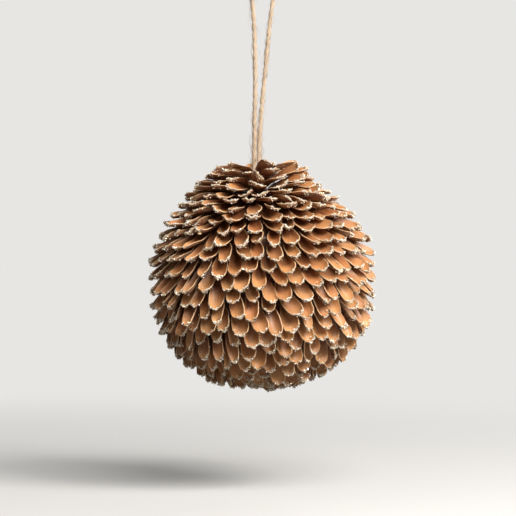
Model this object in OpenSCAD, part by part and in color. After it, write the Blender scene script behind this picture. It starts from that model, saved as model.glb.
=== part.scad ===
// Hanging ball ornament covered in glittered husk scales.
// A foam core carries rings of cupped scales that overlap like roof tiles, each ring called a
// course here. The scales point from the twine at the top down to the bottom of the ball.
// The origin is the inside of the twine loop at its top, and +Z points up along the hanging line.

/* [Core] */
// Diameter of the foam ball
core_d = 80; // [70:1:110]
// Distance from the top of the loop down to the top of the foam ball
core_drop = 100; // [100:1:140]
// Tilt of the ball on its twine, towards -X at the top
ball_tilt = 3; // [0:0.5:6]

/* [Scales] */
// Length of a scale from its root to its tip
scale_l = 15; // [12:0.5:18]
// Width of a scale across its rims
scale_w = 7; // [6:0.1:9]
// Depth of a scale's cup, wall included
scale_depth = 2.1; // [1.6:0.1:2.8]
// Thickness of a scale
scale_wall = 0.5; // [0.3:0.05:0.8]
// Radius of the long curve of a scale's back
back_r = 24; // [20:1:40]
// Share of the length from the root to the widest place of a scale
belly_at = 0.62; // [0.55:0.01:0.7]

/* [Courses] */
// Angle from the top of the ball to the roots of the first course
first_at = 6; // [6:0.5:12]
// Angle from the top of the ball to the roots of the last course
last_at = 165; // [160:1:166]
// Size of the last course's scales, as a share of the full size
end_size = 0.7; // [0.6:0.05:0.9]
// Spacing at the top of the ball, as a share of the full spacing. Closer courses build the crown up
crown_spacing = 0.5; // [0.4:0.05:1]
// Lift of the scales from the ball at its top
top_lift = 13; // [8:1:30]
// Lift of the scales from the ball at its sides
side_lift = 33; // [28:1:40]
// Room between a course and the one that lies over it
course_gap = 0.4; // [0.4:0.1:0.9]
// Room between neighbours in a course
side_gap = 0.2; // [0.1:0.1:1]
// Room between the back of a scale and the foam ball
seat_gap = 0.2; // [0.1:0.05:0.3]
// Sideways lean of the scales at the bottom of the ball, which grows from nothing at its top
swirl = 16; // [0:1:25]
// Most that a scale falls short of its course's size, as a share of it
size_spread = 0.08; // [0:0.01:0.15]
// Most that a scale is lifted past its course's lift
lift_spread = 2; // [0:0.5:4]

/* [Twine] */
// Diameter of the twine
twine_d = 2; // [1.6:0.1:2]
// Depth of the hole in the foam ball that holds both ends of the twine
hole_depth = 14; // [14:1:25]
// Room between the twine and its hole
twine_gap = 0.15; // [0.1:0.05:0.3]

/* [Hidden] */

$fn = 48;

// Ball
core_r = core_d / 2;
entry_x = -2.1;
courses = 26;

// The courses get closer towards the top, and the scales get smaller towards the bottom
crown_courses = 7;
full_courses = 20;
function course_size(i) = 1 - (1 - end_size) * max(0, i - full_courses) / (courses - full_courses);
function spacing(i) = course_size(i) * min(1, crown_spacing + (1 - crown_spacing) * (i - 2) / crown_courses);
function steps_to(i) = i < 2 ? 0 : spacing(i) + steps_to(i - 1);
full_step = (last_at - first_at) / steps_to(courses);

// Angle from the top of the ball to a course's roots
function course_at(i) = first_at + full_step * steps_to(i);

// Lift of a course's scales from the ball, which grows from its top to this angle from the top
full_lift_at = 55;
function course_lift(i) = top_lift + (side_lift - top_lift) * min(1, course_at(i) / full_lift_at);

// Sideways lean of a course's scales
function course_turn(i) = swirl * course_at(i) / 180;

// Section of a scale: a trough that is part of a round shell about the scale's own axis
cup_r = (scale_w * scale_w / 4 + scale_depth * scale_depth) / (2 * scale_depth);
cup_span = 2 * asin(scale_w / 2 / cup_r);

// Side view of a scale: a long back arc, which a round tip cuts off. The tip ends this far from the axis
tip_end = 1.5;
belly_x = belly_at * scale_l;
tip_x = scale_l - arc_h(cup_r, tip_end);
back_drop = back_r - cup_r;

// Distance from a scale's axis to its back, to its rims and across them, at a distance x from the root
function arc_h(r, x) = sqrt(r * r - x * x);
function back_h(x) = min(arc_h(back_r, x - belly_x) - back_drop, arc_h(cup_r, max(0, x - tip_x)));
function rim_h(x) = back_h(min(max(x, 0), scale_l)) * cos(cup_span / 2);
function half_w(x) = back_h(x) * sin(cup_span / 2);

// Stations along a scale at which its room is worked out
stations = [for (share = [0 : 0.05 : 1]) share * scale_l];

// Directions in the plane of a scale and the ball's axis, as [away from the axis, up]
function outward(at) = [sin(at), cos(at)];
function downward(at) = [cos(at), -sin(at)];

// Points of a scale's back, seen from its root
function back_points(i) = let (at = course_at(i) - course_lift(i)) [
    for (x = stations) course_size(i) * (x * downward(at) - back_h(x) * outward(at))
];

// Distance from the middle of the ball to a root's axis, with the back just clear of the foam
function on_foam(i) = max([
    for (p = back_points(i))
        let (out = outward(course_at(i)) * p)
        sqrt(pow(core_r + seat_gap, 2) - p * p + out * out) - out
]);

// The same, with the back just clear of the rims of the course below, whose distance is given
function on_course(i, below_r) =
    let (at = course_at(i + 1), way = at - course_lift(i + 1) - lift_spread)
    max([
        for (p = back_points(i), share = [1 - size_spread, 1])
            let (size = course_size(i + 1) * share)
            let (x = (below_r * (outward(course_at(i)) - outward(at)) + p) * downward(way) / size)
            let (rims = below_r * outward(at) * outward(way) - rim_h(x) * size)
            x > scale_l ? 0 : (rims + course_gap - p * outward(way)) / (outward(course_at(i)) * outward(way))
    ]);

// Distances of every course from this one down. Each course rests on the foam or on the one below it
function seats_from(i) =
    i == courses ? [on_foam(i)]
    : let (rest = seats_from(i + 1)) concat([max(on_foam(i), on_course(i, rest[0]))], rest);
seats = seats_from(1);
function seat_r(i) = seats[i - 1];

// How many scales fit side by side in a course, by the tightest place along their rims
function ring_r(i, x) =
    let (at = course_at(i) - course_lift(i))
    seat_r(i) * sin(course_at(i))
    + course_size(i) * (x * cos(course_turn(i)) * cos(at) - rim_h(x) * sin(at));
function side_room(i, x) = 2 * course_size(i) * half_w(x) + side_gap;
function course_count(i) = floor(min([
    for (x = stations) 180 / asin(side_room(i, x) / (2 * ring_r(i, x) * cos(course_turn(i))))
]));

// Each course starts a little further round than the last, by this share of a scale
phase_step = 0.38;

// Twine route from the hole's floor up the left strand, round the loop and back down the right
twine_route = [
    [-2.4, 0, -113.7], [-2.8, 0, -107], [-3.2, 0, -100], [-3.6, 0, -92], [-3.6, 0, -84],
    [-3.5, 0, -76], [-3.4, 0, -66], [-3.2, 0, -56], [-3.2, 0, -46], [-3.4, 0, -36],
    [-3.8, 0, -26], [-4.5, 0, -17], [-5.3, 0, -10], [-5.2, 0, -4], [-3, 0, -0.1],
    [0, 0, 1], [3, 0, 0], [5.2, 0, -3.7], [5.5, 0, -10], [4.6, 0, -17],
    [3.4, 0, -26], [2.3, 0, -36], [1.4, 0, -46], [0.4, 0, -56], [-0.5, 0, -66],
    [-1.2, 0, -76], [-1.5, 0, -84], [-1.5, 0, -92], [-1.1, 0, -100], [-0.7, 0, -107],
    [-0.3, 0, -113.7]
];
strand_gap = 0.1;
hole_d = 2 * twine_d + strand_gap + 2 * twine_gap;
twine_sides = 8;
rings_per_leg = 2;

// Smooth curve through the route's points, which passes each of them
function leg_point(a, b, c, d, t) =
    0.5 * (2 * b + (c - a) * t + (2 * a - 5 * b + 4 * c - d) * t * t + (3 * b - a - 3 * c + d) * t * t * t);
function smooth_route(p) = let (last = len(p) - 1) concat(
    [
        for (i = [0 : last - 1])
            for (k = [0 : rings_per_leg - 1])
                leg_point(p[max(i - 1, 0)], p[i], p[i + 1], p[min(i + 2, last)], k / rings_per_leg)
    ],
    [p[last]]
);
function unit(v) = v / norm(v);
function ring_points(at, way, r) =
    let (side = unit(cross([0, 1, 0], way)))
    let (up = cross(way, side))
    [for (k = [0 : twine_sides - 1]) at + r * (cos(360 * k / twine_sides) * side + sin(360 * k / twine_sides) * up)];

// Places its children in the frame of the ball, whose middle is the origin there
module in_ball() {
    translate([entry_x, 0, -core_drop])
        rotate([0, -ball_tilt, 0])
            translate([0, 0, -core_r])
                children();
}

module foam_core() {
    color("#4a2b16")
        in_ball()
            difference() {
                sphere(d = core_d);
                translate([0, 0, core_r - hole_depth])
                    cylinder(d = hole_d, h = hole_depth + 1);
            }
}

// Half the side view of a scale as a solid body, less a wall's thickness all round
module scale_side(wall) {
    difference() {
        intersection() {
            translate([-back_drop, belly_x])
                circle(r = back_r - wall);
            translate([tip_end, 0])
                square([scale_w, scale_l]);
        }
        translate([0, tip_x])
            difference() {
                square([2 * scale_w, scale_w]);
                circle(r = cup_r - wall);
            }
    }
}

// One husk scale: its root is at the origin, its tip along +Z and its back towards +X
module husk_scale() {
    rotate([0, 0, -cup_span / 2])
        rotate_extrude(angle = cup_span)
            difference() {
                scale_side(0);
                scale_side(scale_wall);
            }
}

// A ring of scales side by side, set by hand, so that each has its own size and lift
module scale_course(i) {
    count = course_count(i);
    short = rands(0, size_spread, count, i);
    raised = rands(0, lift_spread, count, i + courses);
    color("#b8793f")
        in_ball()
            for (k = [0 : count - 1])
                let (size = course_size(i) * (1 - short[k]), lift = course_lift(i) + raised[k])
                rotate([0, course_at(i), 360 * (k + phase_step * i) / count])
                    translate([0, 0, seat_r(i)])
                        rotate([0, 90 - lift, course_turn(i)])
                            scale(size)
                                husk_scale();
}

// Twine swept along its route, with a flat face at each end
module twine_loop() {
    route = smooth_route(twine_route);
    last = len(route) - 1;
    ways = [for (i = [0 : last]) unit(route[min(i + 1, last)] - route[max(i - 1, 0)])];
    rings = [for (i = [0 : last]) each ring_points(route[i], ways[i], twine_d / 2)];
    sides = [
        for (i = [0 : last - 1])
            for (k = [0 : twine_sides - 1])
                let (a = i * twine_sides, b = (k + 1) % twine_sides)
                [a + k, a + k + twine_sides, a + b + twine_sides, a + b]
    ];
    start = [for (k = [0 : twine_sides - 1]) k];
    end = [for (k = [twine_sides - 1 : -1 : 0]) last * twine_sides + k];
    color("#c9a477")
        polyhedron(points = rings, faces = concat(sides, [start], [end]));
}

foam_core();
scale_course(1);  // scale_course_01
scale_course(2);  // scale_course_02
scale_course(3);  // scale_course_03
scale_course(4);  // scale_course_04
scale_course(5);  // scale_course_05
scale_course(6);  // scale_course_06
scale_course(7);  // scale_course_07
scale_course(8);  // scale_course_08
scale_course(9);  // scale_course_09
scale_course(10);  // scale_course_10
scale_course(11);  // scale_course_11
scale_course(12);  // scale_course_12
scale_course(13);  // scale_course_13
scale_course(14);  // scale_course_14
scale_course(15);  // scale_course_15
scale_course(16);  // scale_course_16
scale_course(17);  // scale_course_17
scale_course(18);  // scale_course_18
scale_course(19);  // scale_course_19
scale_course(20);  // scale_course_20
scale_course(21);  // scale_course_21
scale_course(22);  // scale_course_22
scale_course(23);  // scale_course_23
scale_course(24);  // scale_course_24
scale_course(25);  // scale_course_25
scale_course(26);  // scale_course_26
twine_loop();
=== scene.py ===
# Hanging ball ornament: cupped husk scales with frosted tips on a foam core, hung on jute twine.
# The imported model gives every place. This script gives each piece its finished form and surface.

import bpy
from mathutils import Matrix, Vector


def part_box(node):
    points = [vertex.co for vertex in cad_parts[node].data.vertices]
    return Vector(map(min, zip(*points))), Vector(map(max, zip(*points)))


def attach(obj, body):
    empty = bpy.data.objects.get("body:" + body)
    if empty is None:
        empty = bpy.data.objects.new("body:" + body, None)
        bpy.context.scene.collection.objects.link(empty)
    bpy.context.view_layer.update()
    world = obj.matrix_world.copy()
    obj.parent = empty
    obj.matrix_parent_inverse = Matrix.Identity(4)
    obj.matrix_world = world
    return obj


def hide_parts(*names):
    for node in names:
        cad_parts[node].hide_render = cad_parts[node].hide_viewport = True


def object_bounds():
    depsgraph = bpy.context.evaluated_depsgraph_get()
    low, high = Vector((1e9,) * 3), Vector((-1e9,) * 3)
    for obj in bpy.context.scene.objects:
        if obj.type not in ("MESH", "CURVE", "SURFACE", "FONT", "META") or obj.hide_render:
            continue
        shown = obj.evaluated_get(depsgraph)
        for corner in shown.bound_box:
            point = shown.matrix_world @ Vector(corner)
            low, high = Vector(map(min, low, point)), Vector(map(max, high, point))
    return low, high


bl_info = {
    "name": "Husk Scale Bauble",
    "version": (1, 0, 0),
    "blender": (4, 5, 0),
    "location": "3D View > Sidebar > Bauble",
    "description": "Dresses a hanging ball in frosted husk scales, on a loop of twine",
    "category": "Add Mesh",
}

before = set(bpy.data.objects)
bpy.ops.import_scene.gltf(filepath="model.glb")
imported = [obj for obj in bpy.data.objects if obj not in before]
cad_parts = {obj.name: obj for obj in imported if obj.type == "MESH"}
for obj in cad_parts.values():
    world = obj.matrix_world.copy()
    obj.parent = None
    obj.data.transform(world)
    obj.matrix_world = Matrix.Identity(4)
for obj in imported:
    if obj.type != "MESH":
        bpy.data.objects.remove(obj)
cad_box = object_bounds()

import math
import random

import bmesh
import bpy
import numpy
from bpy.props import FloatProperty, FloatVectorProperty, IntProperty, PointerProperty
from mathutils import Euler, Matrix, Vector, noise

COURSES = sorted(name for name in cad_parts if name.startswith("scale_course_"))

# Rows of a husk's grid: shares of the long part, then shares of the angle round its tip
BODY_ROWS = (0.0, 0.6, 1.0)
TIP_ROWS = (0.5, 0.8, 1.0)
ROWS = len(BODY_ROWS) + len(TIP_ROWS) - 1

# Strips across a husk
ACROSS = 6

# Direction by which a husk's faces are sorted, aslant of its axes to tell mirrored faces apart
FACE_ORDER = Vector((1, 0.37, 0.11))

# Angle between two faces of a husk from which their edge is sharp
SHARP_ANGLE = math.radians(50)

# Height of a husk over the ball's middle, in ball radii, where the crown begins and is full
CROWN_FROM = 0.5
CROWN_TO = 0.9

# Where the count of the scales round the ball begins, between two of them in every course
COUNT_FROM = 1.0

# Grains to a clump of frost, its spread in grain sizes, and the most tries to place a grain in it
CLUMP_GRAINS = 28
CLUMP_SPREAD = 4
CLUMP_TRIES = 8

# Twine route from the foam's hole up the left strand, round the loop and down the right, in metres
TWINE_ROUTE = [
    (-0.0024, 0, -0.1137), (-0.0028, 0, -0.107), (-0.0032, 0, -0.1), (-0.0036, 0, -0.092),
    (-0.0036, 0, -0.084), (-0.0035, 0, -0.076), (-0.0034, 0, -0.066), (-0.0032, 0, -0.056),
    (-0.0032, 0, -0.046), (-0.0034, 0, -0.036), (-0.0038, 0, -0.026), (-0.0045, 0, -0.017),
    (-0.0053, 0, -0.01), (-0.0052, 0, -0.004), (-0.003, 0, -0.0001), (0, 0, 0.001),
    (0.003, 0, 0), (0.0052, 0, -0.0037), (0.0055, 0, -0.01), (0.0046, 0, -0.017),
    (0.0034, 0, -0.026), (0.0023, 0, -0.036), (0.0014, 0, -0.046), (0.0004, 0, -0.056),
    (-0.0005, 0, -0.066), (-0.0012, 0, -0.076), (-0.0015, 0, -0.084), (-0.0015, 0, -0.092),
    (-0.0011, 0, -0.1), (-0.0007, 0, -0.107), (-0.0003, 0, -0.1137),
]
ROUTE_STEPS = 10

# The route lies in the plane of X and Z, and this points square to it
SQUARE_TO_ROUTE = Vector((0, 1, 0))

# A ply's radius, how much it swells, and how far it lies off the route, in twine diameters
PLY_RADIUS = 0.35
PLY_SWELL = 0.05
PLY_ARM = 0.19

# Grid of the plies and of the stray fibres, and what each point of them knows
PLY_SIDES = 8
FIBRE_SIDES = 3
FIBRE_STEPS = 6
FIBRE_SEED = 7
STRAND_LAYERS = ("run", "turn_x", "turn_y", "tone")

# The photograph's frame: its side, and the ball's middle and radius in it, in pixels
PHOTO_SIDE = 516
BALL_PIXEL = (262.5, 280.5)
BALL_PIXEL_RADIUS = 116.0

# Lamps: place from the ball's middle and side in metres, power in watts, and colour
LAMPS = {
    "key": ((0.54, -0.60, 0.56), 0.34, 9.6, (1.0, 0.965, 0.92)),
    "front": ((0.24, -0.78, 0.64), 0.50, 8.5, (1.0, 0.98, 0.96)),
    "back": ((0.35, 0.85, 0.35), 0.80, 4.0, (0.97, 0.985, 1.0)),
}
AMBIENT_COLOUR = (1.0, 0.97, 0.93)

# Floor, and how far from its middle it begins to fade into the background and has done so
FLOOR_RADIUS = 1.5
FLOOR_SIDES = 64
FADE_FROM = 0.2
FADE_TO = 0.75


class HuskSizes(bpy.types.PropertyGroup):
    """Shape of a full-size husk, and how far husks differ from each other."""

    length: FloatProperty(
        name="Length", description="Root to tip", default=0.015, unit="LENGTH")
    width: FloatProperty(
        name="Width", description="Across the rims at the widest place",
        default=0.007, unit="LENGTH")
    depth: FloatProperty(
        name="Depth", description="Depth of the cup, wall included", default=0.0021, unit="LENGTH")
    wall: FloatProperty(
        name="Wall", description="Thickness of the husk", default=0.0004, unit="LENGTH")
    back_radius: FloatProperty(
        name="Back radius", description="Radius of the long curve of the back",
        default=0.024, unit="LENGTH")
    belly: FloatProperty(
        name="Belly", description="From the root to the widest place",
        default=0.0093, unit="LENGTH")
    tip_end: FloatProperty(
        name="Tip end", description="How far from the husk's axis its tip ends",
        default=0.0015, unit="LENGTH")
    round_off: FloatProperty(
        name="Round off", description="How far the corners of the tip are drawn back",
        default=0.0008, unit="LENGTH")
    tuck: FloatProperty(
        name="Tuck", description="How much further in the roots reach at the crown",
        default=0.0025, unit="LENGTH")
    dip: FloatProperty(
        name="Dip", description="How far the roots bend down at the crown",
        default=0.0035, unit="LENGTH")
    crown_fall: FloatProperty(
        name="Crown fall", description="How much flatter the husks lie at the crown",
        default=math.radians(8), subtype="ANGLE")
    yaw: FloatProperty(
        name="Yaw", description="Most that a husk turns to either side",
        default=math.radians(19), subtype="ANGLE")
    roll: FloatProperty(
        name="Roll", description="Most that a husk rolls about its length",
        default=math.radians(24), subtype="ANGLE")
    rise: FloatProperty(
        name="Rise", description="Most that a husk lifts more than its course",
        default=math.radians(6), subtype="ANGLE")
    slide: FloatProperty(
        name="Slide", description="Most that a husk lies further up or down than its course",
        default=0.0015, unit="LENGTH")
    curl: FloatProperty(
        name="Curl", description="Most that a tip bends up or down", default=0.0008, unit="LENGTH")
    sway: FloatProperty(
        name="Sway", description="Most that a tip bends sideways", default=0.0009, unit="LENGTH")
    wave: FloatProperty(
        name="Rim wave", description="Height of the waves along a rim",
        default=0.00022, unit="LENGTH")
    torn_share: FloatProperty(
        name="Torn share", description="Share of the husks with a chipped or torn tip",
        default=0.2, subtype="FACTOR", min=0, max=1)


class FrostSizes(bpy.types.PropertyGroup):
    """Glitter grains and drops of clear glue on the tips of the husks."""

    grain: FloatProperty(
        name="Grain", description="Radius of a middling grain", default=0.00028, unit="LENGTH")
    count: IntProperty(
        name="Count", description="Grains on a husk with a middling coat",
        default=72, min=0, max=200)
    drop: FloatProperty(
        name="Glue drop", description="Radius of a drop of glue", default=0.001, unit="LENGTH")
    drop_share: FloatProperty(
        name="Drop share", description="Share of the husks that carry a drop of glue",
        default=0.05, subtype="FACTOR", min=0, max=1)


class TwineSizes(bpy.types.PropertyGroup):
    """Jute twine laid from two plies."""

    diameter: FloatProperty(
        name="Diameter", description="Diameter over both plies", default=0.002, unit="LENGTH")
    lay: FloatProperty(
        name="Lay", description="Length of one full turn of the plies",
        default=0.0085, unit="LENGTH")
    fuzz_count: IntProperty(
        name="Fuzz count", description="Stray fibres along the twine", default=420, min=0, max=2000)
    fibre: FloatProperty(
        name="Fibre", description="Radius of a stray fibre", default=0.00008, unit="LENGTH")
    frayed_from: FloatProperty(
        name="Frayed from", description="Height below which half of the stray fibres stand out",
        default=-0.062, unit="LENGTH")


class Finishes(bpy.types.PropertyGroup):
    """Colours of every surface, as plain surface colours, save that the root colour also paints
    shade in the hollows.
    """

    hollow: FloatVectorProperty(
        name="Hollow", description="Hollow side of a husk", default=(0.46, 0.175, 0.058),
        subtype="COLOR", min=0, max=1)
    hollow_pale: FloatVectorProperty(
        name="Pale hollow", description="Paler husks", default=(0.66, 0.33, 0.13),
        subtype="COLOR", min=0, max=1)
    # Root: dark brown of the streaks, blotches and foam stain, and also painted shade towards the
    # root of each hollow
    root: FloatVectorProperty(
        name="Root", description="Husk near its root", default=(0.15, 0.045, 0.015),
        subtype="COLOR", min=0, max=1)
    rim: FloatVectorProperty(
        name="Rim", description="Bare pale edge of a husk", default=(0.68, 0.43, 0.23),
        subtype="COLOR", min=0, max=1)
    back: FloatVectorProperty(
        name="Back", description="Rough back of a husk", default=(0.28, 0.155, 0.08),
        subtype="COLOR", min=0, max=1)
    frost: FloatVectorProperty(
        name="Frost", description="White glitter", default=(0.93, 0.89, 0.81),
        subtype="COLOR", min=0, max=1)
    champagne: FloatVectorProperty(
        name="Champagne", description="Golden glitter", default=(0.70, 0.58, 0.34),
        subtype="COLOR", min=0, max=1)
    foam: FloatVectorProperty(
        name="Foam", description="Stained foam ball", default=(0.055, 0.024, 0.011),
        subtype="COLOR", min=0, max=1)
    jute: FloatVectorProperty(
        name="Jute", description="Twine", default=(0.78, 0.62, 0.45),
        subtype="COLOR", min=0, max=1)
    jute_dark: FloatVectorProperty(
        name="Dark jute", description="Twine between its fibres", default=(0.50, 0.36, 0.24),
        subtype="COLOR", min=0, max=1)


class StageSizes(bpy.types.PropertyGroup):
    """Floor, lamps and camera."""

    drop: FloatProperty(
        name="Drop", description="From the bottom of the ball down to the floor",
        default=0.045, unit="LENGTH")
    distance: FloatProperty(
        name="Camera distance", description="From the camera to the ball's middle",
        default=0.9, unit="LENGTH")
    paper: FloatVectorProperty(
        name="Paper", description="Background", default=(0.80, 0.79, 0.77),
        subtype="COLOR", min=0, max=1)
    floor: FloatVectorProperty(
        name="Floor", description="Floor, which the lamps bring up to the background",
        default=(0.66, 0.655, 0.64), subtype="COLOR", min=0, max=1)
    bounce: FloatVectorProperty(
        name="Bounce", description="Colour of the light that the floor sends up",
        default=(0.22, 0.21, 0.20), subtype="COLOR", min=0, max=1)
    ambient: FloatProperty(
        name="Ambient", description="Even light from all sides", default=0.2, min=0, max=2)


# Shader trees

class Wire:
    """A shader socket that takes part in Python sums."""

    def __init__(self, surface, socket):
        self.surface = surface
        self.socket = socket

    def sum(self, operation, *values):
        return self.surface.node("Math", {"operation": operation}, dict(enumerate(values)))

    def __add__(self, other):
        return self.sum("ADD", self, other)

    def __radd__(self, other):
        return self.sum("ADD", other, self)

    def __sub__(self, other):
        return self.sum("SUBTRACT", self, other)

    def __rsub__(self, other):
        return self.sum("SUBTRACT", other, self)

    def __mul__(self, other):
        return self.sum("MULTIPLY", self, other)

    def __rmul__(self, other):
        return self.sum("MULTIPLY", other, self)

    def fraction(self):
        return self.sum("FRACT", self)

    def or_more(self, other):
        """The larger of the two."""
        return self.sum("MAXIMUM", self, other)

    def step(self, low, high):
        """0 below low and 1 above high, smooth between, or the reverse if low is the larger."""
        ends = {"From Min": min(low, high), "From Max": max(low, high)}
        ends["To Min"], ends["To Max"] = (0.0, 1.0) if low < high else (1.0, 0.0)
        return self.surface.node(
            "MapRange", {"interpolation_type": "SMOOTHSTEP"}, {"Value": self, **ends})


class Surface:
    """A material whose nodes are added by one method."""

    def __init__(self, name):
        self.material = bpy.data.materials.new(name)
        self.material.use_nodes = True
        self.nodes = self.material.node_tree.nodes
        self.links = self.material.node_tree.links
        self.shader = self.nodes["Principled BSDF"]

    def node(self, kind, settings=None, inputs=None, output=0):
        made = self.nodes.new("ShaderNode" + kind)
        for key, value in (settings or {}).items():
            setattr(made, key, value)
        for key, value in (inputs or {}).items():
            self.feed(made.inputs[key], value)
        return Wire(self, made.outputs[output])

    def feed(self, socket, value):
        if isinstance(value, Wire):
            self.links.new(value.socket, socket)
        elif socket.type == "RGBA":
            socket.default_value = (*value[:3], 1.0)
        else:
            socket.default_value = value

    def read(self, name):
        return self.node("Attribute", {"attribute_name": name}, output="Fac")

    def place(self):
        return self.node("TexCoord", output="Object")

    def vector(self, x, y, z):
        return self.node("CombineXYZ", None, {0: x, 1: y, 2: z})

    def noise(self, vector, scale, detail=3.0, roughness=0.55):
        values = {"Vector": vector, "Scale": scale, "Detail": detail, "Roughness": roughness}
        return self.node("TexNoise", None, values)

    def mix(self, factor, low, high):
        return self.node("Mix", {"data_type": "RGBA"}, {0: factor, 6: low, 7: high}, output=2)

    def bump(self, height, strength, distance):
        values = {"Height": height, "Strength": strength, "Distance": distance}
        return self.node("Bump", None, values)

    def finish(self, **inputs):
        """Feeds the shader, by the names of its sockets with _ for a space."""
        for key, value in inputs.items():
            self.feed(self.shader.inputs[key.replace("_", " ")], value)
        return self.material


def husk_surface(look):
    """Dry husk: warm in the hollow with painted shade towards its root, pale at the rim and rough
    behind.
    """
    s = Surface("husk")
    along, across, edge, inside = (s.read(name) for name in ("along", "across", "edge", "inside"))
    rim, tone, dust = (s.read(name) for name in ("rim", "tone", "dust"))
    streaks = s.noise(s.vector(along * 1.2, across * 5.0, tone * 40.0), 2.2, 4.0)
    blotches = s.noise(s.vector(along * 3.0, across * 1.6, tone * 70.0 + inside), 1.3, 3.0)
    grit = s.noise(s.place(), 1900.0, 2.0, 0.7)

    pale = tone.step(0.1, 1.0) * 0.6 + (along + blotches * 0.3).step(0.70, 1.05) * 0.4
    hollow = s.mix((tone * 5.0).fraction() * 0.5, look.hollow, look.back)
    hollow = s.mix(pale, hollow, look.hollow_pale)
    hollow = s.mix(streaks.step(0.45, 0.72) * 0.30, hollow, look.root)
    # Painted shade: the hollow darkens towards its root, where the husk above shades it
    hollow = s.mix((along + blotches * 0.35).step(0.82, 0.34) * 0.92, hollow, look.root)
    back = s.mix(blotches.step(0.40, 0.62), look.back, look.root)
    back = s.mix(grit.step(0.52, 0.66) * 0.45, back, look.rim)
    colour = s.mix(inside.step(0.3, 0.7), back, hollow)

    bare = (edge + streaks * 0.25).step(0.90, 1.18) * 0.7
    bare = bare.or_more(rim * (0.55 + 0.45 * blotches.step(0.35, 0.6)))
    colour = s.mix(bare * along.step(0.05, 0.4), colour, look.rim)

    flakes = s.node("TexVoronoi", None, {"Vector": s.place(), "Scale": 2300.0})
    clumps = s.noise(s.place(), 650.0, 2.0)
    near_tip = along + edge * 0.13 + (clumps - 0.5) * 0.55 + (dust - 0.5) * 0.12
    crust = near_tip.step(0.97, 1.09) * flakes.step(0.58, 0.34)
    specks = grit.step(0.61, 0.66) * (near_tip.step(0.72, 1.06) * 0.7 + edge * 0.2)
    frosted = crust.or_more(specks)
    glitter = s.mix(clumps.step(0.40, 0.60), look.frost, look.champagne)
    colour = s.mix(frosted * 0.85, colour, glitter)

    height = streaks * 0.35 + grit * (0.08 + frosted * 0.6 + (1.0 - inside) * 0.35)
    return s.finish(
        Base_Color=colour,
        Roughness=0.36 + (1.0 - inside) * 0.36 + streaks * 0.16,
        Normal=s.bump(height, 0.5, 0.0003),
        Specular_IOR_Level=0.5,
    )


def frost_surface(look):
    """Glitter: clear and white grains with a few golden ones, in dried glue."""
    s = Surface("frost")
    tone = s.read("tone")
    fleck = s.noise(s.place(), 2600.0, 1.0)
    colour = s.mix(tone.step(0.35, 0.95), look.frost, look.champagne)
    colour = s.mix(fleck.step(0.52, 0.64) * 0.35, colour, look.rim)
    return s.finish(
        Base_Color=colour,
        Metallic=(tone * 7.0).fraction().step(0.45, 0.95) * 0.65,
        Roughness=0.16 + (tone * 13.0).fraction() * 0.34,
        Specular_IOR_Level=0.8,
    )


def glue_surface(look):
    """Round dried drops of yellowish glue, shiny and strewn with glitter."""
    s = Surface("glue")
    place = s.place()
    flakes = s.node("TexVoronoi", None, {"Vector": place, "Scale": 2600.0})
    smears = s.noise(place, 900.0, 3.0)
    colour = s.mix(smears.step(0.35, 0.65), look.champagne, look.rim)
    return s.finish(
        Base_Color=s.mix(flakes.step(0.42, 0.25) * 0.7, colour, look.frost),
        Roughness=0.12 + smears * 0.25,
        Normal=s.bump(flakes, 0.4, 0.0002),
    )


def foam_surface(look):
    """Foam ball stained dark, with smears of dried glue."""
    s = Surface("foam")
    place = s.place()
    beads = s.node("TexVoronoi", {"feature": "DISTANCE_TO_EDGE"}, {"Vector": place, "Scale": 420.0})
    stain = s.noise(place, 160.0, 4.0)
    glue = s.noise(place, 320.0, 2.0).step(0.56, 0.64)
    colour = s.mix(stain.step(0.35, 0.65), look.foam, look.root)
    return s.finish(
        Base_Color=s.mix(glue * 0.5, colour, look.back),
        Roughness=0.85 - glue * 0.5,
        Normal=s.bump(beads.step(0.0, 0.06) * 0.6 + stain, 0.6, 0.0004),
    )


def jute_surface(look):
    """Jute: pale fibres laid along each ply, darker in the furrows between them."""
    s = Surface("jute")
    run, turn_x, turn_y, tone = (s.read(name) for name in ("run", "turn_x", "turn_y", "tone"))
    fibres = s.noise(s.vector(turn_x * 2.6, turn_y * 2.6, run * 0.35 + tone * 9.0), 2.4, 5.0, 0.65)
    patches = s.noise(s.vector(turn_x * 0.5, turn_y * 0.5, run * 1.4 + tone * 5.0), 1.0, 2.0)
    colour = s.mix(fibres.step(0.36, 0.60), look.jute_dark, look.jute)
    colour = s.mix(patches.step(0.45, 0.70) * 0.45, colour, look.rim)
    return s.finish(
        Base_Color=colour,
        Roughness=0.8,
        Normal=s.bump(fibres, 0.9, 0.0005),
        Sheen_Weight=0.25,
        Sheen_Roughness=0.5,
    )


# Meshes

def piece_from(mesh_maker, name, *materials):
    """Turns a bmesh into an object with its materials, and frees the bmesh."""
    mesh = bpy.data.meshes.new(name)
    mesh_maker.to_mesh(mesh)
    mesh_maker.free()
    for material in materials:
        mesh.materials.append(material)
    made = bpy.data.objects.new(name, mesh)
    bpy.context.scene.collection.objects.link(made)
    return made


def ball_middle():
    """Middle of the foam ball, by its sides and bottom, which are whole. Its top has a hole."""
    low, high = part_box("foam_core")
    radius = (high.x - low.x) / 2
    return Vector(((low.x + high.x) / 2, (low.y + high.y) / 2, low.z + radius))


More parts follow.
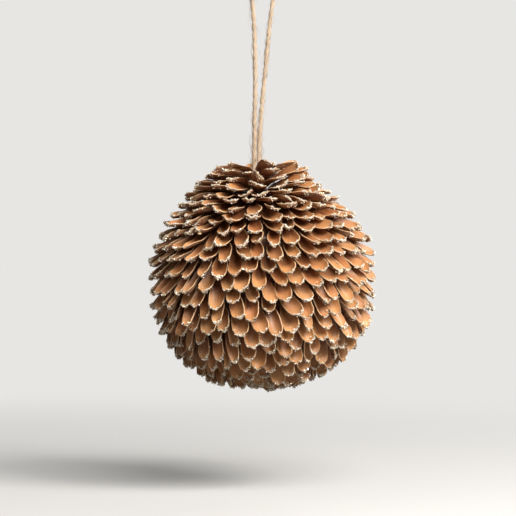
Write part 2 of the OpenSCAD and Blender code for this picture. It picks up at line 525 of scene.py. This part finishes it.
def own_axes(points, corners, away, outward=None):
    """Place and length of a shell by its spread of area, with X along it, Y across it and Z out.

    X points to the end farthest from the point away, and Z goes with outward, or else away from
    that point. The place is rounded, so that a sum's last digit can't change a chance draw."""
    triangles = points[corners]
    legs = numpy.cross(triangles[:, 1] - triangles[:, 0], triangles[:, 2] - triangles[:, 0])
    weight = numpy.linalg.norm(legs, axis=1)
    weight /= weight.sum()
    middle = (weight[:, None] * triangles.mean(1)).sum(0)
    arms = triangles - middle
    whole = arms.sum(1)
    spread = numpy.einsum("t,tki,tkj->ij", weight, arms, arms)
    spread += numpy.einsum("t,ti,tj->ij", weight, whole, whole)
    axes = numpy.linalg.eigh(spread)[1].T
    out = axes[0] * numpy.sign(axes[0] @ (middle - away if outward is None else outward))
    far = points[numpy.argmax(numpy.linalg.norm(points - away, axis=1))]
    along = axes[2] * numpy.sign((far - middle) @ axes[2])
    across = numpy.cross(out, along)
    turn = Matrix(numpy.array([along, across, out]).T.round(7).tolist()).to_4x4()
    reach = (points - middle) @ along
    return Matrix.Translation(Vector(middle.round(8))) @ turn, round(reach.max() - reach.min(), 8)


def loose_shells(node, middle):
    """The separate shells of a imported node, as points and triangles, in order round the ball.

    A copy of the node's mesh is merged first."""

    def turn(shell):
        x, y = shell[0].mean(0)[:2] - middle.xy
        return (math.atan2(x, y) + COUNT_FROM) % (2 * math.pi)

    copy = bmesh.new()
    copy.from_mesh(node.data)
    bmesh.ops.remove_doubles(copy, verts=copy.verts, dist=1e-6)
    bmesh.ops.triangulate(copy, faces=copy.faces)
    seen = set()
    shells = []
    for start in copy.verts:
        if start in seen:
            continue
        seen.add(start)
        queue = [start]
        for vertex in queue:
            for edge in vertex.link_edges:
                other = edge.other_vert(vertex)
                if other not in seen:
                    seen.add(other)
                    queue.append(other)
        number = {vertex: i for i, vertex in enumerate(queue)}
        faces = {face for vertex in queue for face in vertex.link_faces}
        corners = sorted([number[v] for v in face.verts] for face in faces)
        shells.append((numpy.array([v.co[:] for v in queue]), numpy.array(corners)))
    copy.free()
    return sorted(shells, key=turn)


class Blank:
    """A husk before it dried out of shape: root at the origin, tip along +X, hollow towards +Z.

    It is part of a round shell about its own axis, with a long arc for its back and a round tip."""

    def __init__(self, sizes):
        self.length = sizes.length
        half = sizes.width / 2
        self.cup = (half ** 2 + sizes.depth ** 2) / (2 * sizes.depth)
        self.spread = math.asin(half / self.cup)
        self.tip_angle = math.acos(sizes.tip_end / self.cup)
        self.tip_start = sizes.length - self.cup * math.sin(self.tip_angle)
        self.belly, self.back_radius = sizes.belly, sizes.back_radius
        self.mesh = bpy.data.meshes.new("husk_blank")
        self.build(sizes.wall)
        points = numpy.array([v.co[:] for v in self.mesh.vertices])
        self.mesh.calc_loop_triangles()
        corners = numpy.array([t.vertices[:] for t in self.mesh.loop_triangles])
        behind = numpy.array([-self.length, 0, -self.length])
        self.axes, self.reach = own_axes(points, corners, behind, numpy.array([0, 0, 1.0]))

    def station(self, share):
        """Distance along the husk, and the angle round its tip, of a share of the grid's rows."""
        row = round(share * ROWS)
        if row < len(BODY_ROWS):
            return BODY_ROWS[row] * self.tip_start, 0.0
        angle = TIP_ROWS[row - len(BODY_ROWS)] * self.tip_angle
        return self.tip_start + self.cup * math.sin(angle), angle

    def radius(self, x, angle):
        """Distance of the back from the husk's axis."""
        back = math.sqrt(self.back_radius ** 2 - (x - self.belly) ** 2)
        return min(back - self.back_radius + self.cup, self.cup * math.cos(angle))

    def build(self, wall):
        husk = bmesh.new()
        bmesh.ops.create_grid(husk, x_segments=ROWS, y_segments=ACROSS, size=1)
        names = ("along", "across", "edge", "inside", "tone", "dust")
        layer = {name: husk.verts.layers.float.new(name) for name in names}
        rim = husk.faces.layers.float.new("rim")
        for v in husk.verts:
            share, side = (v.co.x + 1) / 2, v.co.y
            x, angle = self.station(share)
            out, turn = self.radius(x, angle), side * self.spread
            v.co = Vector((x, out * math.sin(turn), -out * math.cos(turn)))
            v[layer["along"]] = x / self.length
            v[layer["across"]] = side
            v[layer["edge"]] = float(abs(side) > 0.99 or share > 0.99)
        bmesh.ops.reverse_faces(husk, faces=husk.faces)
        back = set(husk.verts)
        bmesh.ops.solidify(husk, geom=list(husk.faces), thickness=wall)
        for v in husk.verts:
            v[layer["inside"]] = float(v not in back)
        for face in husk.faces:
            face[rim] = float(len({v in back for v in face.verts}) == 2)
            face.smooth = True

        # Solidify adds the rim's faces in no fixed order, and the grains are drawn from that list
        husk.faces.sort(key=lambda face: face.calc_center_median().dot(FACE_ORDER))
        husk.to_mesh(self.mesh)
        husk.free()


def dried(point, husk, blank, sizes):
    """Where a point of the blank goes on one husk, by that husk's own bends."""
    x, y, z = point
    share = x / blank.length
    tip = max(0.0, x - blank.tip_start) / (blank.length - blank.tip_start)
    side = math.atan2(y, -z) / blank.spread
    y *= husk["width"] * (1 - husk["taper"] * share - husk["point"] * tip ** 2)
    z = (z + blank.cup) * husk["deep"] - blank.cup * (1 + husk["droop"] * tip ** 2)
    y += husk["sway"] * share ** 2
    wave = math.sin(husk["phase"] + 9 * share + 2 * side)
    z += husk["curl"] * share ** 2 + abs(side) * sizes.wave * wave
    x -= sizes.round_off * tip ** 4 * side ** 2
    x -= husk["torn"] * tip ** 2 * max(0.0, side * husk["torn_side"] * 0.6 + 0.3)
    x -= husk["notch"] * tip ** 3 * max(0.0, 1 - abs(side) * 2.5)
    x -= husk["tuck"] * (1 - share) ** 2
    z -= husk["dip"] * max(0.0, 1 - share * 2.5)
    turn = husk["twist"] * (share - 0.4)
    y, z = y * math.cos(turn) - z * math.sin(turn), y * math.sin(turn) + z * math.cos(turn)
    return Vector((x * husk["long"], y, z))


def within_one(chance, spread):
    """A chance share between -1 and 1, mostly near 0."""
    return max(-1.0, min(1.0, chance.gauss(0, spread)))


def husk_habit(chance, sizes, flat, left):
    """How one husk differs from the blank.

    Towards the crown, where flat is 1, husks are flatter, lie lower and dip at the root. Those on
    the left of the crown, where left is 1, stay up more."""
    crown = flat ** 3
    torn = chance.random() < sizes.torn_share * (1 + 1.5 * flat)
    notched = chance.random() < sizes.torn_share * (0.7 + flat)
    return {
        "width": chance.uniform(0.90, 1.16) * (1 + 0.10 * flat),
        "long": chance.uniform(0.93, 1.08),
        "taper": chance.uniform(-0.06, 0.14),
        "point": chance.uniform(0.0, 0.25),
        "deep": chance.uniform(0.85, 1.15) * (1 - 0.35 * flat),
        "droop": chance.uniform(0.20, 0.42) * (1 - 0.35 * flat),
        "tuck": sizes.tuck * crown,
        "dip": sizes.dip * crown,
        "curl": chance.uniform(-0.6, 1) * sizes.curl * (1 + 0.6 * flat),
        "sway": within_one(chance, 0.45) * sizes.sway,
        "twist": chance.gauss(0, 0.2),
        "phase": chance.uniform(0, 2 * math.pi),
        "torn": chance.uniform(0.0006, 0.0013) if torn else 0.0,
        "torn_side": chance.choice((-1, 1)),
        "notch": chance.uniform(0.0003, 0.0008) if notched else 0.0,
        "yaw": within_one(chance, 0.45) * sizes.yaw,
        "roll": within_one(chance, 0.5) * sizes.roll * (1 + 0.5 * flat),
        "rise": chance.uniform(-0.6, 1) * sizes.rise - sizes.crown_fall * crown * (1 - 0.6 * left),
        "slide": within_one(chance, 0.5) * sizes.slide,
        "tone": chance.random(),
        "dust": chance.random(),
    }


def frost_pull(face, layer, rim):
    """How thickly frost lies on a face: most at the tip, on its rim and in its hollow."""
    count = len(face.verts)
    along = sum(v[layer["along"]] for v in face.verts) / count
    inside = sum(v[layer["inside"]] for v in face.verts) / count
    tip = max(0.0, along - 0.76) / 0.24
    if face[rim]:
        return (0.15 + 12.0 * tip ** 1.5) * face.calc_area() if along > 0.3 else 0.0
    return (2.8 * tip ** 2 + 0.02 if inside > 0.5 else 1.4 * tip ** 1.6 + 0.05) * face.calc_area()


def point_in(face, chance):
    """A chance point of a face with three or four corners."""
    corners = [v.co for v in face.verts]
    if len(corners) == 4:
        corners = chance.choice((corners[:3], [corners[0], corners[2], corners[3]]))
    a, b = sorted((chance.random(), chance.random()))
    return corners[0] * a + corners[1] * (b - a) + corners[2] * (1 - b)


class Pinches:
    """Pinches of loose chips, all alike and at the origin, kept by how many chips each holds."""

    def __init__(self):
        chip = bmesh.new()
        chip.verts.layers.float.new("tone")
        bmesh.ops.create_uvsphere(chip, u_segments=4, v_segments=2, radius=1)
        self.corners = len(chip.verts)
        self.chip = self.keep(chip)
        self.kept = {}

    def keep(self, made):
        mesh = bpy.data.meshes.new("pinch")
        made.to_mesh(mesh)
        made.free()
        return mesh

    def of(self, count):
        if count not in self.kept:
            chips = bmesh.new()
            for _ in range(count):
                chips.from_mesh(self.chip)
            self.kept[count] = self.keep(chips)
        return self.kept[count]

    def clear(self):
        for mesh in (self.chip, *self.kept.values()):
            bpy.data.meshes.remove(mesh)


def near_clump(faces, pulls, clumps, spread, chance):
    """A chance face and a point of it, mostly near one of the clumps."""
    for face in chance.choices(faces, pulls, k=CLUMP_TRIES):
        spot = point_in(face, chance)
        gap = min((spot - clump).length for clump in clumps)
        if chance.random() < 0.03 + math.exp(-(gap / spread) ** 2):
            break
    return face, spot


def sprinkle(grains, pinches, faces, pulls, count, size, chance):
    """Drops chips of glitter on the faces in clumps. Each chip lies its own way."""
    start = len(grains.verts)
    grains.from_mesh(pinches.of(count))
    grains.verts.ensure_lookup_table()
    tone = grains.verts.layers.float["tone"]
    starts = chance.choices(faces, pulls, k=2 + count // CLUMP_GRAINS)
    clumps = [point_in(face, chance) for face in starts]
    for number in range(count):
        face, spot = near_clump(faces, pulls, clumps, size * CLUMP_SPREAD, chance)
        radius = size * chance.uniform(0.5, 1.5)
        spot += face.normal * (radius * 0.2 + chance.random() ** 2 * size * 1.6)
        lie = Euler([chance.uniform(0, 2 * math.pi) for _ in range(3)]).to_matrix().to_4x4()
        wide, thick = radius * chance.uniform(0.7, 1), radius * chance.uniform(0.3, 0.7)
        place = Matrix.Translation(spot) @ lie @ Matrix.Diagonal((radius, wide, thick, 1))
        shade = chance.random()
        first = start + number * pinches.corners
        for v in grains.verts[first:first + pinches.corners]:
            v.co = place @ v.co
            v[tone] = shade


def glue_drop(drops, place, blank, size, chance):
    """A dried drop of glue in the hollow of a tip."""
    spot = Vector((blank.length * chance.uniform(0.80, 0.90), 0, -blank.cup * 0.78))
    along, thick = size * chance.uniform(0.9, 1.3), size * chance.uniform(0.5, 0.75)
    form = Matrix.Diagonal((along, size, thick, 1))
    made = bmesh.ops.create_uvsphere(
        drops, u_segments=10, v_segments=6, radius=1,
        matrix=place @ Matrix.Translation(spot) @ form)
    for face in {face for v in made["verts"] for face in v.link_faces}:
        face.smooth = True


def husk_turn(habit, blank):
    """A husk's own slide and turns about a point of its back near the root."""
    hinge = Vector((blank.length * 0.3, 0, -blank.cup * 0.7))
    turn = Euler((habit["roll"], -habit["rise"], habit["yaw"])).to_matrix().to_4x4()
    slide = Matrix.Translation((habit["slide"], 0, 0))
    return slide @ Matrix.Translation(hinge) @ turn @ Matrix.Translation(-hinge)


def dress_course(name, middle, blank, pinches, sizes, frost, materials):
    """One course's husks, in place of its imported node, with their frost and drops of glue."""
    husks, grains, drops = bmesh.new(), bmesh.new(), bmesh.new()
    for rank, (points, corners) in enumerate(loose_shells(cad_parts[name], middle)):
        chance = random.Random(f"{name}_{rank}")
        seat, reach = own_axes(points, corners, numpy.array(middle))
        away = (seat.translation - middle).normalized()
        flat = min(1.0, max(0.0, (away.z - CROWN_FROM) / (CROWN_TO - CROWN_FROM)))
        habit = husk_habit(chance, sizes, flat, max(0.0, -away.x))
        scale = Matrix.Scale(reach / blank.reach, 4)
        place = seat @ scale @ blank.axes.inverted() @ husk_turn(habit, blank)
        if chance.random() < frost.drop_share:
            glue_drop(drops, place, blank, frost.drop, chance)
        start, first = len(husks.verts), len(husks.faces)
        husks.from_mesh(blank.mesh)
        husks.verts.ensure_lookup_table()
        husks.faces.ensure_lookup_table()
        layer = {key: husks.verts.layers.float[key] for key in ("along", "inside", "tone", "dust")}
        rim = husks.faces.layers.float["rim"]
        for v in husks.verts[start:]:
            v.co = place @ dried(v.co, habit, blank, sizes)
            v[layer["tone"]], v[layer["dust"]] = habit["tone"], habit["dust"]
        faces = husks.faces[first:]
        for face in faces:
            face.normal_update()
        pulls = [frost_pull(face, layer, rim) for face in faces]
        count = round(frost.count * (0.35 + 1.3 * habit["dust"] ** 1.3))
        sprinkle(grains, pinches, faces, pulls, count, frost.grain, chance)
    number = name.rsplit("_", 1)[1]
    made = piece_from(husks, f"husks_course_{number}", materials["husk"])
    made.data.set_sharp_from_angle(angle=SHARP_ANGLE)
    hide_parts(name)
    pieces = [made, piece_from(grains, f"frost_course_{number}", materials["frost"])]
    if drops.verts:
        pieces.append(piece_from(drops, f"glue_course_{number}", materials["glue"]))
    else:
        drops.free()
    for piece in pieces:
        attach(piece, "root")


# Twine

def smooth_route(points, steps):
    """A smooth curve through the points, in short steps, that passes each of them."""
    points = [Vector(p) for p in points]
    last = len(points) - 1
    route = []
    for i in range(last):
        a, b, c, d = points[max(i - 1, 0)], points[i], points[i + 1], points[min(i + 2, last)]
        for k in range(steps):
            t = k / steps
            curve = 2 * b + (c - a) * t + (2 * a - 5 * b + 4 * c - d) * t * t
            route.append((curve + (3 * b - a - 3 * c + d) * t ** 3) / 2)
    return route + [points[last]]


def stations(route):
    """Way, side and length so far at each point of a route in the plane of X and Z."""
    so_far, found = 0.0, []
    for i, point in enumerate(route):
        so_far += (point - route[max(i - 1, 0)]).length
        way = (route[min(i + 1, len(route) - 1)] - route[max(i - 1, 0)]).normalized()
        side = SQUARE_TO_ROUTE.cross(way).normalized()
        found.append((point, way, side, so_far))
    return found


def sweep(strand, route, radii, sides, tone, spin=0.0):
    """Adds a tube of rings along a route. Each ring is an extrusion of the one before it."""
    tube = bmesh.new()
    layer = {name: tube.verts.layers.float.new(name) for name in STRAND_LAYERS}
    last = len(route) - 1
    so_far = 0.0
    normal = (route[1] - route[0]).normalized().orthogonal()
    for i, (point, radius) in enumerate(zip(route, radii)):
        way = (route[min(i + 1, last)] - route[max(i - 1, 0)]).normalized()
        normal = (normal - way * normal.dot(way)).normalized()
        so_far += (point - route[max(i - 1, 0)]).length
        turn = Matrix((normal, way.cross(normal), way)).transposed().to_4x4()
        place = Matrix.Translation(point) @ turn @ Matrix.Diagonal((radius, radius, radius, 1))
        if i == 0:
            made = bmesh.ops.create_circle(
                tube, cap_ends=True, radius=1, segments=sides, matrix=place)["verts"]
            ring = list(tube.edges)
        else:
            grown = bmesh.ops.extrude_edge_only(tube, edges=ring)["geom"]
            made = [part for part in grown if isinstance(part, bmesh.types.BMVert)]
            ring = [part for part in grown if isinstance(part, bmesh.types.BMEdge)]
            bmesh.ops.transform(tube, matrix=place @ before.inverted(), verts=made)
        before = place
        for v in made:
            arm = place.inverted() @ v.co
            angle = math.atan2(arm.y, arm.x) + spin * so_far
            v[layer["run"]], v[layer["tone"]] = so_far * 1000, tone
            v[layer["turn_x"]], v[layer["turn_y"]] = math.cos(angle), math.sin(angle)
    bmesh.ops.contextual_create(tube, geom=ring)
    bmesh.ops.recalc_face_normals(tube, faces=tube.faces)
    for face in tube.faces:
        face.smooth = True
    ready = bpy.data.meshes.new("tube")
    tube.to_mesh(ready)
    tube.free()
    strand.from_mesh(ready)
    bpy.data.meshes.remove(ready)


def ply_routes(twine):
    """Middle lines of the two plies, which wind round the twine's own route."""
    places = stations(smooth_route(TWINE_ROUTE, ROUTE_STEPS))
    arm = twine.diameter * PLY_ARM
    return [
        [
            point + arm * (math.cos(turn) * side + math.sin(turn) * SQUARE_TO_ROUTE)
            for point, way, side, so_far in places
            for turn in [start + so_far / twine.lay * 2 * math.pi]
        ]
        for start in (0.0, math.pi)
    ]


def fuzz(strand, places, twine, chance):
    """Stray fibres that leave the twine at a slant and curl back along it."""
    base = twine.diameter * PLY_RADIUS
    everywhere = range(len(places))
    frayed = [number for number in everywhere if places[number][0].z < twine.frayed_from]
    for _ in range(twine.fuzz_count):
        start = chance.choice(chance.choice((everywhere, frayed)))
        heading = chance.choice((-1, 1))
        turn = chance.uniform(0, 2 * math.pi)
        reach = base + twine.diameter * chance.uniform(0.15, 0.9)
        stride = chance.uniform(0.5, 1.6)
        route = []
        for k in range(FIBRE_STEPS + 1):
            share = k / FIBRE_STEPS
            number = start + heading * round(k * stride)
            point, way, side, so_far = places[max(0, min(len(places) - 1, number))]
            out = math.cos(turn + share) * side + math.sin(turn + share) * SQUARE_TO_ROUTE
            sideways = way.cross(out) * base * math.sin(3 * share + turn)
            route.append(point + out * (base + (reach - base) * math.sin(1.9 * share)) + sideways)
        radii = [twine.fibre * (1 - 0.6 * k / FIBRE_STEPS) for k in range(FIBRE_STEPS + 1)]
        sweep(strand, route, radii, FIBRE_SIDES, chance.random())


OPERATORS = []


def listed(operator):
    """Adds an operator to the panel, in the order in which main calls them."""
    OPERATORS.append(operator)
    return operator


@listed
class MakeTwine(bpy.types.Operator):
    """Lays the two-ply jute loop along its route, with stray fibres"""

    bl_idname = "bauble.twine"
    bl_label = "Twine loop"

    def execute(self, context):
        twine, look = context.scene.bauble_twine, context.scene.bauble_finishes
        strand = bmesh.new()
        spin = -2 * math.pi / (twine.lay * 0.8)
        for number, route in enumerate(ply_routes(twine)):
            swells = [noise.noise(Vector((i * 0.21, number * 9.0, 0))) for i in range(len(route))]
            radii = [twine.diameter * (PLY_RADIUS + PLY_SWELL * swell) for swell in swells]
            sweep(strand, route, radii, PLY_SIDES, number * 0.4, spin=spin)
        path = smooth_route(TWINE_ROUTE, ROUTE_STEPS)
        fuzz(strand, stations(path), twine, random.Random(FIBRE_SEED))
        made = piece_from(strand, "twine", jute_surface(look))
        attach(made, "root")
        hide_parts("twine_loop")
        length = stations(path)[-1][3]
        return {"FINISHED"}


@listed
class MakeCore(bpy.types.Operator):
    """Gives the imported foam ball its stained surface"""

    bl_idname = "bauble.core"
    bl_label = "Foam ball"

    def execute(self, context):
        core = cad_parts["foam_core"]
        for place in core.material_slots:
            place.link = "OBJECT"
            place.material = foam_surface(context.scene.bauble_finishes)
        return {"FINISHED"}


@listed
class MakeHusks(bpy.types.Operator):
    """Sets a dried husk over each packed scale, course by course, and frosts it"""

    bl_idname = "bauble.husks"
    bl_label = "Husk scales"

    def execute(self, context):
        scene = context.scene
        sizes, frost, look = scene.bauble_husks, scene.bauble_frost, scene.bauble_finishes
        middle, blank, pinches = ball_middle(), Blank(sizes), Pinches()
        materials = {
            "husk": husk_surface(look),
            "frost": frost_surface(look),
            "glue": glue_surface(look),
        }
        for name in COURSES:
            dress_course(name, middle, blank, pinches, sizes, frost, materials)
        bpy.data.meshes.remove(blank.mesh)
        pinches.clear()
        return {"FINISHED"}


def area_lamp(name, aim, away, side, power, colour):
    """A soft square lamp at a place given from the point that it faces."""
    lamp = bpy.data.lights.new(name, "AREA")
    lamp.energy, lamp.size, lamp.color = power, side, colour
    made = bpy.data.objects.new(name, lamp)
    made.location = aim + Vector(away)
    made.rotation_euler = (-Vector(away)).to_track_quat("-Z", "Y").to_euler()
    bpy.context.scene.collection.objects.link(made)


def paper_surface(stage):
    """Pale paper that fades into the background far off, and is see-through from below."""
    s = Surface("paper")
    place = s.place()
    grain = s.noise(place, 60.0, 3.0)
    seen = s.node("LightPath", output="Is Camera Ray")
    shade = s.mix(grain * 0.08, stage.floor, stage.paper)
    s.finish(Base_Color=s.mix(seen, stage.bounce, shade), Roughness=0.9)
    gone = s.node("VectorMath", {"operation": "LENGTH"}, {0: place}, output="Value")
    far = gone.step(FADE_FROM, FADE_TO)
    back = s.node("Emission", None, {"Color": stage.paper, "Strength": 1.0})
    faded = s.node("MixShader", None, {0: far * seen, 1: Wire(s, s.shader.outputs[0]), 2: back})
    below = s.node("NewGeometry", output="Backfacing")
    shown = s.node("MixShader", None, {0: below, 1: faded, 2: s.node("BsdfTransparent")})
    s.links.new(shown.socket, s.nodes["Material Output"].inputs["Surface"])
    return s.material


def studio_world(stage):
    """A plain pale background that gives the scene only part of its light."""
    world = bpy.data.worlds.new("studio")
    world.use_nodes = True
    nodes, links = world.node_tree.nodes, world.node_tree.links
    soft, seen = nodes["Background"], nodes.new("ShaderNodeBackground")
    mix = nodes.new("ShaderNodeMixShader")
    soft.inputs["Color"].default_value = (*AMBIENT_COLOUR, 1.0)
    soft.inputs["Strength"].default_value = stage.ambient
    seen.inputs["Color"].default_value = (*stage.paper, 1.0)
    path = nodes.new("ShaderNodeLightPath")
    links.new(path.outputs["Is Camera Ray"], mix.inputs[0])
    links.new(soft.outputs[0], mix.inputs[1])
    links.new(seen.outputs[0], mix.inputs[2])
    links.new(mix.outputs[0], nodes["World Output"].inputs["Surface"])
    return world


@listed
class MakeStage(bpy.types.Operator):
    """Makes the pale floor, the soft lamps and the camera"""

    bl_idname = "bauble.stage"
    bl_label = "Stage"

    def execute(self, context):
        scene, stage = context.scene, context.scene.bauble_stage
        middle = ball_middle()
        tips = max((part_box(name)[1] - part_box(name)[0]).x for name in COURSES) / 2
        per_pixel = tips / BALL_PIXEL_RADIUS
        floor = bmesh.new()
        bmesh.ops.create_circle(floor, cap_ends=True, radius=FLOOR_RADIUS, segments=FLOOR_SIDES)
        bmesh.ops.translate(floor, vec=(0, 0, cad_box[0].z - stage.drop), verts=floor.verts)
        piece_from(floor, "floor", paper_surface(stage))

        for name, (away, side, power, colour) in LAMPS.items():
            area_lamp(name, middle, away, side, power, colour)
        scene.world = studio_world(stage)

        camera = bpy.data.cameras.new("camera")
        camera.lens = camera.sensor_width * stage.distance / (PHOTO_SIDE * per_pixel)
        eye = bpy.data.objects.new("camera", camera)
        across = (PHOTO_SIDE / 2 - BALL_PIXEL[0]) * per_pixel
        down = (PHOTO_SIDE / 2 - BALL_PIXEL[1]) * per_pixel
        eye.location = middle + Vector((across, -stage.distance, -down))
        eye.rotation_euler = (math.radians(90), 0, 0)
        scene.collection.objects.link(eye)
        scene.camera = eye
        scene.view_settings.view_transform = "Standard"
        return {"FINISHED"}


class BaublePanel(bpy.types.Panel):
    """Lists the pieces and the sizes that a user would change"""

    bl_idname = "VIEW3D_PT_bauble"
    bl_label = "Husk scale bauble"
    bl_space_type = "VIEW_3D"
    bl_region_type = "UI"
    bl_category = "Bauble"

    def draw(self, context):
        for operator in OPERATORS:
            self.layout.operator(operator.bl_idname)
        for name, group in GROUPS.items():
            box = self.layout.box()
            for key in group.__annotations__:
                box.prop(getattr(context.scene, name), key)


GROUPS = {
    "bauble_husks": HuskSizes,
    "bauble_frost": FrostSizes,
    "bauble_twine": TwineSizes,
    "bauble_finishes": Finishes,
    "bauble_stage": StageSizes,
}


def register():
    for cls in (*GROUPS.values(), *OPERATORS, BaublePanel):
        bpy.utils.register_class(cls)
    for name, group in GROUPS.items():
        setattr(bpy.types.Scene, name, PointerProperty(type=group))


def unregister():
    for name in GROUPS:
        delattr(bpy.types.Scene, name)
    for cls in reversed((*GROUPS.values(), *OPERATORS, BaublePanel)):
        bpy.utils.unregister_class(cls)


def main():
    register()
    bpy.ops.bauble.stage()
    bpy.ops.bauble.twine()
    bpy.ops.bauble.core()
    bpy.ops.bauble.husks()


if __name__ == "__main__":
    main()
